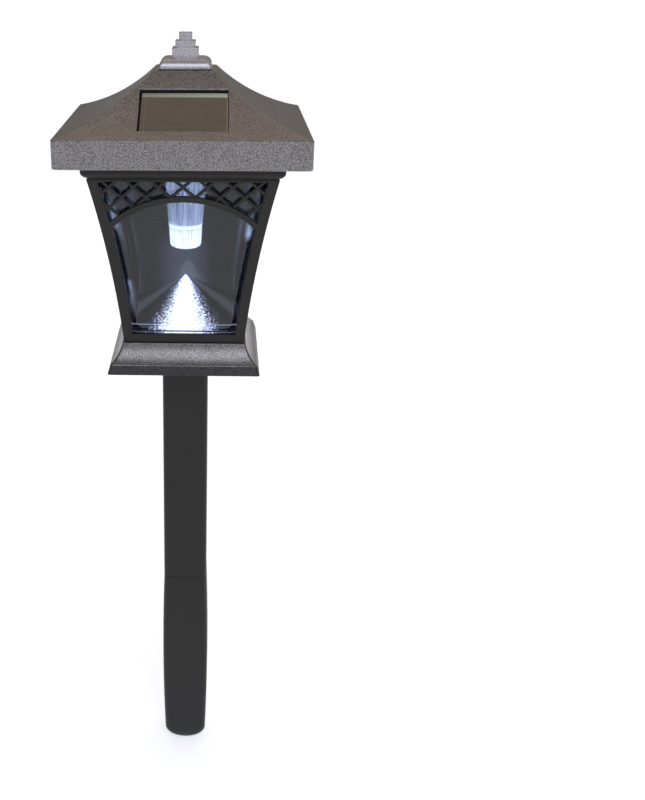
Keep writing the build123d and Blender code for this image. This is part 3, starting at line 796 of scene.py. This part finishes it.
def latticeTool():
    tree, given = toolTree("latticeTool", {
        "Pitch": "Float", "Lean": "Float", "Strand": "Float", "Depth": "Float",
        "Crossing": "Float", "Count": "Int", "Spandrel": "Object", "Finish": "Material"})
    profile = addNode(tree, "GeometryNodeCurvePrimitiveQuadrilateral", {}, {
        "Width": given["Strand"], "Height": given["Depth"]})
    rounded = addNode(tree, "GeometryNodeFilletCurve", {}, {"Curve": profile.outputs[0], "Radius": 0.4 * mm})
    rounded.mode, rounded.inputs["Count"].default_value = "POLY", 3
    run = addNode(tree, "GeometryNodeCurvePrimitiveLine", {}, {
        "Start": (-60 * mm, 0, 0), "End": (60 * mm, 0, 0)})
    fine = addNode(tree, "GeometryNodeResampleCurve", {}, {"Curve": run.outputs[0], "Count": 61})
    strand = addNode(tree, "GeometryNodeCurveToMesh", {}, {
        "Curve": fine.outputs[0], "Profile Curve": rounded.outputs[0], "Fill Caps": True})
    less = calc(tree, "SUBTRACT", given["Count"], 1.0)
    back = calc(tree, "MULTIPLY", less, -0.5)
    startX = calc(tree, "MULTIPLY", back, given["Pitch"])
    start = addNode(tree, "ShaderNodeCombineXYZ", {}, {0: startX, 2: given["Crossing"]})
    step = addNode(tree, "ShaderNodeCombineXYZ", {}, {0: given["Pitch"]})
    row = addNode(tree, "GeometryNodeMeshLine", {}, {
        "Count": given["Count"], "Start Location": start.outputs[0], "Offset": step.outputs[0]})
    spandrel = addNode(tree, "GeometryNodeObjectInfo", {}, {"Object": given["Spandrel"]})
    joined = addNode(tree, "GeometryNodeJoinGeometry")
    for sign in (-1.0, 1.0):
        lean = calc(tree, "MULTIPLY", given["Lean"], sign)
        turn = addNode(tree, "ShaderNodeCombineXYZ", {}, {1: lean})
        placed = addNode(tree, "GeometryNodeInstanceOnPoints", {}, {
            "Points": row.outputs[0], "Instance": strand.outputs[0], "Rotation": turn.outputs[0]})
        real = addNode(tree, "GeometryNodeRealizeInstances", {}, {0: placed.outputs[0]})
        trimmed = addNode(tree, "GeometryNodeMeshBoolean", {"operation": "INTERSECT", "solver": "EXACT"})
        tree.links.new(real.outputs[0], trimmed.inputs["Mesh 2"])
        tree.links.new(spandrel.outputs["Geometry"], trimmed.inputs["Mesh 2"])
        tree.links.new(trimmed.outputs[0], joined.inputs[0])
    whole = addNode(tree, "GeometryNodeRealizeInstances", {}, {0: joined.outputs[0]})
    coated = addNode(tree, "GeometryNodeSetMaterial", {}, {0: whole.outputs[0], "Material": given["Finish"]})
    addNode(tree, "NodeGroupOutput", {}, {0: coated.outputs[0]})
    return tree


def runTool(tree, name, mesh, values):
    # a piece made by a node tree, as a plain mesh
    piece = newPiece(name, mesh)
    tool = piece.modifiers.new(tree.name, "NODES")
    tool.node_group = tree
    sockets = {item.name: item.identifier for item in tree.interface.items_tree if item.in_out == "INPUT"}
    for label, value in values.items():
        tool[sockets[label]] = value
    return settle(piece)


def makeWindows():
    outer, light, spandrel = outlines()
    frameMesh = plateOf("windowFrame", [outer, light, spandrel], lantern["panelWall"] / 2, window["edge"])
    bendToFace(frameMesh)
    centre = (0, (window["head"] + window["archCentre"]) / 2 + 20)
    grow = 1.03   # the strands end inside the frame
    grown = [(x * grow, centre[1] + (z - centre[1]) * grow) for x, z in spandrel]
    block = newPiece("spandrelBlock", plateOf("spandrelBlock", [grown], 3.0, 0.01))
    depth = lantern["panelWall"] - 2 * window["recess"]
    count = 17
    strands = runTool(latticeTool(), "lattice", bpy.data.meshes.new("lattice"), {
        "Pitch": window["pitch"] * mm, "Lean": math.atan2(window["row"], window["pitch"] / 2),
        "Strand": window["strand"] * mm, "Depth": depth * mm, "Crossing": window["crossing"] * mm,
        "Count": count, "Spandrel": block, "Finish": charcoalAbs})
    bpy.data.objects.remove(block)
    bendToFace(strands.data)
    made = bmesh.new()
    made.from_mesh(frameMesh)
    made.from_mesh(strands.data)
    bpy.data.objects.remove(strands)
    for turns, side in enumerate(("front", "right", "back", "left")):
        mesh = bpy.data.meshes.new("windowPanel_" + side)
        made.to_mesh(mesh)
        mesh.transform(Matrix.Rotation(math.radians(90) * turns, 4, "Z"))
        piece = newPiece("windowPanel_" + side, mesh)
        mount(smoothOff(piece), charcoalAbs, "stem_abs", "window_panel_" + side)
    made.free()


makeWindows()
print("window panels made")


# Lens box and reflector

lens = {"corner": 7.0, "foot": 4.5, "floor": 17.75, "grooveLow": 21.3, "grooveHigh": 25.2, "grooveDepth": 0.8,
        "lipHalf": 47.0, "lipHeight": 1.2, "steps": 14}


def makeLens():
    outset = lantern["panelWall"] + lantern["lensGap"]
    inset = outset + lantern["lensWall"]
    lift = baseLine / mm
    inner, outer = lens["corner"] - lantern["lensWall"], lens["corner"]
    floor = lens["floor"]
    points = [(faceHalf(floor, inset) - 4, floor, inner, 0), (faceHalf(floor, inset), floor, inner, 3.0)]
    heights = [26 + (lantern["high"] - 26) * k / lens["steps"] for k in range(lens["steps"] + 1)]
    points += [(faceHalf(z, inset), z, inner, 0) for z in heights]
    top = lantern["high"] + lens["lipHeight"]
    points += [(faceHalf(lantern["high"], inset), top, inner, 0.3), (lens["lipHalf"], top, 3.0, 0.3),
               (lens["lipHalf"], lantern["high"], 3.0, 0)]
    points += [(faceHalf(z, outset), z, outer, 0) for z in heights[::-1]]
    cut = lens["grooveDepth"]
    low, high = lens["grooveLow"], lens["grooveHigh"]
    points += [(faceHalf(high, outset), high, outer, 0.45),
               (faceHalf(high, outset) - cut, high - 0.5, outer, 0.3),
               (faceHalf(low, outset) - cut, low + 0.5, outer, 0.3),
               (faceHalf(low, outset), low, outer, 0.45)]
    points += [(faceHalf(lantern["low"], outset), lantern["low"], outer, 3.0),
               (faceHalf(lantern["low"], outset) - 4, lantern["low"], outer - 3, 0)]
    piece = squareLoft("lensBoxMoulding", roundedSection(points), cornerSteps=8, lift=baseLine)
    return mount(smoothOff(piece), smokedAcrylicFinish(), "smoked_acrylic", "lens_box")


def stippleTool():
    tree, given = toolTree("stippleTool", {
        "Spacing": "Float", "Size": "Float", "Seed": "Int", "Finish": "Material"})
    normal = addNode(tree, "GeometryNodeInputNormal")
    axes = split(tree, normal.outputs[0])
    slanted = calc(tree, "GREATER_THAN", axes["Z"], 0.5)
    scatter = addNode(tree, "GeometryNodeDistributePointsOnFaces", {"distribute_method": "POISSON"}, {
        "Mesh": given["Geometry"], "Selection": slanted, "Distance Min": given["Spacing"],
        "Density Max": 900000.0, "Seed": given["Seed"]})
    bead = addNode(tree, "GeometryNodeMeshUVSphere", {}, {"Segments": 8, "Rings": 4, "Radius": given["Size"]})
    uneven = addNode(tree, "FunctionNodeRandomValue", {"data_type": "FLOAT_VECTOR"}, {
        0: (0.6, 0.6, 0.35), 1: (1.25, 1.25, 0.6), "Seed": given["Seed"]})
    placed = addNode(tree, "GeometryNodeInstanceOnPoints", {}, {
        "Points": scatter.outputs["Points"], "Instance": bead.outputs[0],
        "Rotation": scatter.outputs["Rotation"], "Scale": uneven.outputs[0]})
    joined = addNode(tree, "GeometryNodeJoinGeometry")
    tree.links.new(placed.outputs[0], joined.inputs[0])
    tree.links.new(given["Geometry"], joined.inputs[0])
    real = addNode(tree, "GeometryNodeRealizeInstances", {}, {0: joined.outputs[0]})
    coated = addNode(tree, "GeometryNodeSetMaterial", {}, {0: real.outputs[0], "Material": given["Finish"]})
    addNode(tree, "NodeGroupOutput", {}, {0: coated.outputs[0]})
    return tree


pyramid = {"skirt": 24.0, "rim": 23.2, "lip": 0.8, "half": 28.0, "corner": 4.8, "wall": 1.2,
           "spacing": 1.25, "bead": 0.52, "seed": 4}


def makeReflector():
    low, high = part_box("reflector_pyramid")
    bottom, top = low.z / mm, high.z / mm
    rim = baseLine / mm + pyramid["rim"]
    half, lip, wall = pyramid["half"], pyramid["lip"], pyramid["wall"]
    skirt = pyramid["skirt"]
    points = [(0.4, top - 1.9, 0.2, 0), (skirt - wall, rim + 1.2, 1.2, 0), (skirt - wall, bottom, 1.2, 0),
              (skirt, bottom, 2.0, 0), (skirt, rim, 2.0, 0), (half - 0.4, rim, pyramid["corner"], 0),
              (half, rim + 0.3, pyramid["corner"], 0), (half, rim + lip, pyramid["corner"], 0)]
    rise = top - rim - lip
    for share, corner in ((0.05, 3.2), (0.12, 1.4), (0.3, 0.8), (0.6, 0.6), (0.9, 0.5), (0.985, 0.2)):
        points.append((half * (1 - share), rim + lip + rise * share, corner, 0))
    body = squareLoft("reflectorMoulding", roundedSection(points))
    finish = reflectorFinish(rim * mm, top * mm)
    piece = runTool(stippleTool(), "reflectorStipple", body.data, {
        "Spacing": pyramid["spacing"] * mm, "Size": pyramid["bead"] * mm,
        "Seed": pyramid["seed"], "Finish": finish})
    bpy.data.objects.remove(body)
    return mount(smoothOff(piece, 50), finish, "reflector_styrene", "reflector_pyramid")


lamp = {"tipHalf": 6.6, "shoulderHalf": 8.9, "stepHalf": 9.15, "deckHalf": 12.0, "flangeHalf": 13.5,
        "shoulder": 72.5, "flutes": 26, "fluteDepth": 0.45, "coneSteps": 10}


def makeLamp():
    low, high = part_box("led_lens")
    bottom, top = low.z / mm, high.z / mm
    deck = top - 1.4
    shoulder = baseLine / mm + lamp["shoulder"]
    bore = shoulder + 2.0
    points = [(0.5, bore, 20, 0), (7.4, bore, 20, 0.6), (10.4, top, 20, 0.2),
              (lamp["flangeHalf"], top, 20, 0.3),
              (lamp["flangeHalf"], deck, 20, 0.2), (lamp["deckHalf"], deck, 20, 0)]
    for k in range(1, lamp["coneSteps"]):
        t = k / lamp["coneSteps"]
        half = lamp["deckHalf"] * (1 - t) + lamp["stepHalf"] * t
        points.append((half, deck * (1 - t) + (shoulder + 0.9) * t, 20, 0))
    points += [(lamp["stepHalf"], shoulder + 0.9, 20, 0.15), (lamp["shoulderHalf"], shoulder, 20, 0.15),
               (8.5, bottom + 2.4, 20, 0), (8.0, bottom + 1.2, 20, 0), (6.6, bottom + 0.4, 20, 0),
               (3.2, bottom + 0.08, 20, 0), (0.5, bottom, 20, 0)]

    def fluted(z):
        between = shoulder + 1.5 < z < deck - 0.3
        return lamp["flutes"], lamp["fluteDepth"] if between else 0.0

    piece = squareLoft("lampLensMoulding", roundedSection(points), cornerSteps=26, fluted=fluted)
    return mount(smoothOff(piece), clearAcrylicFinish(), "clear_acrylic", "led_lens")


makeLens()
makeReflector()
makeLamp()
print("lens, reflector and lamp made")


# Cornice, base, post and stake

cornice = {"groove": 47.7, "grooveRise": 0.7, "nose": 48.5, "belly": 50.85, "bellyRise": 3.3,
           "socket": 48.85, "socketRise": 2.6, "mouth": 44.0, "seat": 47.1, "seatRise": 1.2}


def makeCornice():
    low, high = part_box("cornice_ring")
    bottom, top = low.z / mm, high.z / mm
    points = [(cornice["groove"], bottom, 1.5, 0), (cornice["groove"], bottom + cornice["grooveRise"], 1.5, 0),
              (cornice["nose"], bottom + cornice["grooveRise"], 1.8, 0.2)]
    start = (cornice["nose"], bottom + cornice["grooveRise"])
    end = (cornice["belly"], bottom + cornice["bellyRise"])
    points += [(x, z, 2.0, 0) for x, z in arcBetween(start, end, 0.45, 6)]
    points += [(*end, 2.0, 0), (cornice["belly"], top, 2.0, 0.3), (cornice["socket"], top, 1.6, 0.2),
               (cornice["socket"], bottom + cornice["socketRise"], 1.6, 0.2),
               (cornice["mouth"], bottom + cornice["socketRise"], 1.6, 0.2),
               (cornice["mouth"], bottom + cornice["seatRise"], 1.6, 0),
               (cornice["seat"], bottom + cornice["seatRise"], 1.6, 0),
               (cornice["seat"], bottom, 1.6, 0)]
    piece = squareLoft("corniceMoulding", roundedSection(points, closed=True), closed=True)
    return mount(smoothOff(piece), charcoalAbs, "stem_abs", "cornice_ring")


base = {"half": 40.9, "band": 5.1, "bandIn": 1.6, "deckHalf": 33.2, "sag": -1.05, "wall": 2.0,
        "spigotHalf": 10.9, "spigotWall": 1.6, "corner": 1.3, "edge": 0.55}


def makeBase():
    low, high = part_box("base_flange")
    bottom = baseLine / mm
    spigotLow, deck = low.z / mm, high.z / mm
    half, wall = base["half"], base["wall"]
    bandHalf, bandTop = half - base["bandIn"], bottom + base["band"]
    tube = base["spigotHalf"]
    points = [(tube - base["spigotWall"] - 1, deck - wall, 0.8, 0),
              (tube - base["spigotWall"], deck - wall, 0.8, 0),
              (tube - base["spigotWall"], spigotLow, 0.8, 0.2), (tube, spigotLow, 1.3, 0.2),
              (tube, deck - wall, 1.3, 0), (base["deckHalf"] - wall + 0.2, deck - wall, 0.8, 0)]
    slope = arcBetween((bandHalf - wall, bandTop - 0.8),
                       (base["deckHalf"] - wall + 0.2, deck - wall), base["sag"], 8)
    points += [(x, z, 0.8, 0) for x, z in slope[::-1]]
    points += [(bandHalf - wall, bandTop - 0.8, 0.8, 0), (half - wall, bottom, 0.8, 0.2),
               (half, bottom, base["corner"], 0.3), (bandHalf, bandTop, base["corner"], base["edge"])]
    slope = arcBetween((bandHalf, bandTop), (base["deckHalf"], deck), base["sag"], 10)
    points += [(x, z, base["corner"], 0) for x, z in slope]
    points += [(base["deckHalf"], deck, base["corner"], 0.3), (base["deckHalf"] - 3, deck, 0.8, 0)]
    piece = smoothOff(squareLoft("baseMoulding", roundedSection(points)))
    mount(piece, pewterAbs, "roof_abs", "base_flange")
    piece.data.materials.append(paintedShadeBandAbs)
    for face in piece.data.polygons:
        # the band round the foot, below the slope, takes the darker copy: painted shade
        reach = max(abs(c) for c in face.center[:2]) / mm
        outward = face.center.z / mm < bandTop - base["edge"] and reach > bandHalf - 0.5
        face.material_index = 1 if outward else 0
    return piece


post = {"half": 12.7, "wall": 1.5, "corner": 2.9, "edge": 0.35}


def makePost():
    low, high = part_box("post_tube")
    bottom, top = low.z / mm, high.z / mm
    half, wall, corner, edge = (post[k] for k in ("half", "wall", "corner", "edge"))
    points = [(half, bottom, corner, edge), (half, top, corner, edge),
              (half - wall, top, corner - wall, edge), (half - wall, bottom, corner - wall, edge)]
    piece = squareLoft("postExtrusion", roundedSection(points, closed=True), closed=True, cornerSteps=7)
    return mount(smoothOff(piece), charcoalAbs, "stem_abs", "post_tube")


stake = {"half": 12.7, "belly": 1.05, "corner": 3.2, "nose": 11.0, "tipHalf": 4.0, "spigotHalf": 10.9,
         "hollow": 2.2, "hollowFloor": 26.0, "shaftSteps": 16, "noseSteps": 10}


def makeStake():
    low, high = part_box("ground_stake")
    bottom, top = low.z / mm, high.z / mm
    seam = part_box("post_tube")[0].z / mm
    noseTop = bottom + stake["nose"]
    spigot = stake["spigotHalf"]
    points = [(spigot - stake["hollow"] - 1, bottom + stake["hollowFloor"], 1.0, 0),
              (spigot - stake["hollow"], bottom + stake["hollowFloor"], 1.0, 0),
              (spigot - stake["hollow"], top, 1.0, 0.3), (spigot, top, 1.3, 0.5), (spigot, seam, 1.3, 0),
              (stake["half"], seam, stake["corner"], 0.4)]
    for k in range(1, stake["shaftSteps"] + 1):
        z = seam + (noseTop - seam) * k / stake["shaftSteps"]
        share = 2 * k / stake["shaftSteps"] - 1
        points.append((stake["half"] + stake["belly"] * (1 - share ** 2), z, stake["corner"], 0))
    for k in range(1, stake["noseSteps"] + 1):
        t = math.sin(math.radians(90) * k / stake["noseSteps"])
        half = stake["tipHalf"] + (stake["half"] - stake["tipHalf"]) * (1 - t ** 2.4) ** 0.5
        points.append((half, noseTop - t * stake["nose"], min(stake["corner"] + 7 * t, half * 0.96), 0))
    piece = squareLoft("stakeMoulding", roundedSection(points), cornerSteps=7)
    return mount(smoothOff(piece), charcoalAbs, "stem_abs", "ground_stake")


makeCornice()
makeBase()
makePost()
makeStake()
print("cornice, base, post and stake made")

for node, material in {"cap_tray": blackAbs, "battery_door": blackAbs, "switch_knob": knobAbs}.items():
    frame["nodes"][node].data.materials.clear()
    frame["nodes"][node].data.materials.append(material)


# Floor, light and camera

stage = {
    "reach": 30.0, "backlight": 0.66, "sky": "FFF8F2", "skyStrength": 0.2,
    "frontSun": 0.95, "backSun": 0.55,
}


def floorFinish():
    # backlit opal acrylic sheet: pale, matt, with a barely visible unevenness
    material, tree, shader = newMaterial("opalAcrylicSheet", {
        "Roughness": 0.9, "Emission Color": linear("F4F8FF"), "Emission Strength": stage["backlight"]})
    place = ownPlace(tree)
    cloud = addNode(tree, "ShaderNodeTexNoise", {}, {"Vector": place, "Scale": 3.0})
    colour = mixColour(tree, cloud.outputs["Fac"], linear("F6F8FA"), linear("FAFBFD"))
    tree.links.new(colour, shader.inputs["Base Color"])
    return material


def makeStage():
    made = bmesh.new()
    corners = [made.verts.new((sx * stage["reach"], sy * stage["reach"], 0)) for sx, sy in
               ((-1, -1), (1, -1), (1, 1), (-1, 1))]
    made.faces.new(corners)
    mesh = bpy.data.meshes.new("floor")
    made.to_mesh(mesh)
    made.free()
    floor = newPiece("floor", mesh)
    mesh.materials.append(floorFinish())
    world = bpy.data.worlds.new("studio")
    bpy.context.scene.world = world
    world.use_nodes = True
    sky = world.node_tree.nodes["Background"]
    sky.inputs["Color"].default_value = linear(stage["sky"])
    sky.inputs["Strength"].default_value = stage["skyStrength"]


def addSun(name, strength, colour, azimuth, elevation, softness):
    # azimuth 0 shines from the front, positive from the right
    light = bpy.data.lights.new(name, "SUN")
    light.energy, light.angle, light.color = strength, math.radians(softness), linear(colour)[:3]
    holder = bpy.data.objects.new(name, light)
    bpy.context.scene.collection.objects.link(holder)
    holder.rotation_euler = Euler((math.radians(90 - elevation), 0, math.radians(azimuth)))


def addCamera():
    # tilt and azimuth in degrees, aim in mm above the base
    view = {"azimuth": 1.72, "tilt": 22.54, "distance": 0.6496, "aim": -30.9, "lens": 50.4, "shift": 0.171}
    azimuth, tilt = math.radians(view["azimuth"]), math.radians(view["tilt"])
    back = Vector((math.sin(azimuth) * math.cos(tilt), -math.cos(azimuth) * math.cos(tilt), math.sin(tilt)))
    camera = bpy.data.objects.new("camera", bpy.data.cameras.new("camera"))
    bpy.context.scene.collection.objects.link(camera)
    camera.location = Vector((0, 0, baseLine + view["aim"] * mm)) + back * view["distance"]
    camera.rotation_euler = (-back).to_track_quat("-Z", "Y").to_euler()
    camera.data.lens, camera.data.shift_x, camera.data.clip_start = view["lens"], view["shift"], 0.01
    bpy.context.scene.camera = camera


makeStage()
addSun("frontLight", stage["frontSun"], "F2F5FF", 8, 38, 40)
addSun("backLight", stage["backSun"], "FFE6CF", 170, 58, 76)
addCamera()
bpy.context.scene.view_settings.view_transform = "Standard"
print("stage made")
